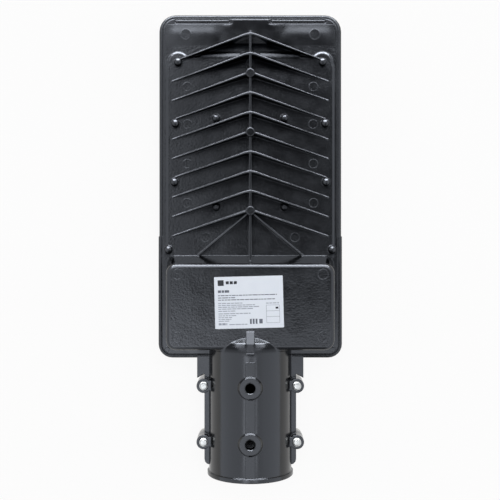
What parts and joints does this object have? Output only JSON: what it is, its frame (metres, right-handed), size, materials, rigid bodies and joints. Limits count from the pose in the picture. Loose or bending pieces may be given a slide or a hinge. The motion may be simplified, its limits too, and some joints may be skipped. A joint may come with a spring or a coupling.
{
  "type": "led street light head",
  "caption": "Flat street light head: a finned cast body with a lens plate below, a driver box, and a split round socket that clamps onto a pole arm.",
  "frame": {"origin": "axis of the pole socket at its mouth", "axes": "+Y from the socket's mouth to the nose, +Z to the finned back, light leaves towards -Z"},
  "size_m": [0.1336, 0.3338, 0.0627],
  "materials": {
    "powder_coat": "matte",
    "lens_plastic": "gloss",
    "zinc_steel": "satin",
    "silicone": "matte",
    "board_mask": "satin",
    "phosphor": "satin",
    "driver_case": "matte",
    "nylon": "satin",
    "terminal_plastic": "satin",
    "tinned_brass": "satin",
    "lead_sleeve": "satin",
    "earth_sleeve": "satin",
    "label_film": "satin"
  },
  "bodies": {
    "root": {"housing": "powder_coat", "bottom_cover": "powder_coat", "cover_gasket": "silicone", "lens_gasket": "silicone", "lens_plate": "lens_plastic", "led_board": "board_mask", "led_chips": "phosphor", "lens_screws": "zinc_steel", "board_screws": "zinc_steel", "cover_screws": "zinc_steel", "socket_screws": "zinc_steel", "socket_flat_washers": "zinc_steel", "socket_spring_washers": "zinc_steel", "led_driver": "driver_case", "driver_screws": "zinc_steel", "terminal_block": "terminal_plastic", "terminal_screws": "tinned_brass", "block_stud": "zinc_steel", "supply_leads": "lead_sleeve", "output_leads": "lead_sleeve", "earth_terminal": "tinned_brass", "earth_screw": "zinc_steel", "earth_lead": "earth_sleeve", "gland_body": "nylon", "gland_locknut": "nylon", "gland_cap_nut": "nylon", "gland_seal": "silicone", "rating_label": "label_film"}
  },
  "joints": []
}
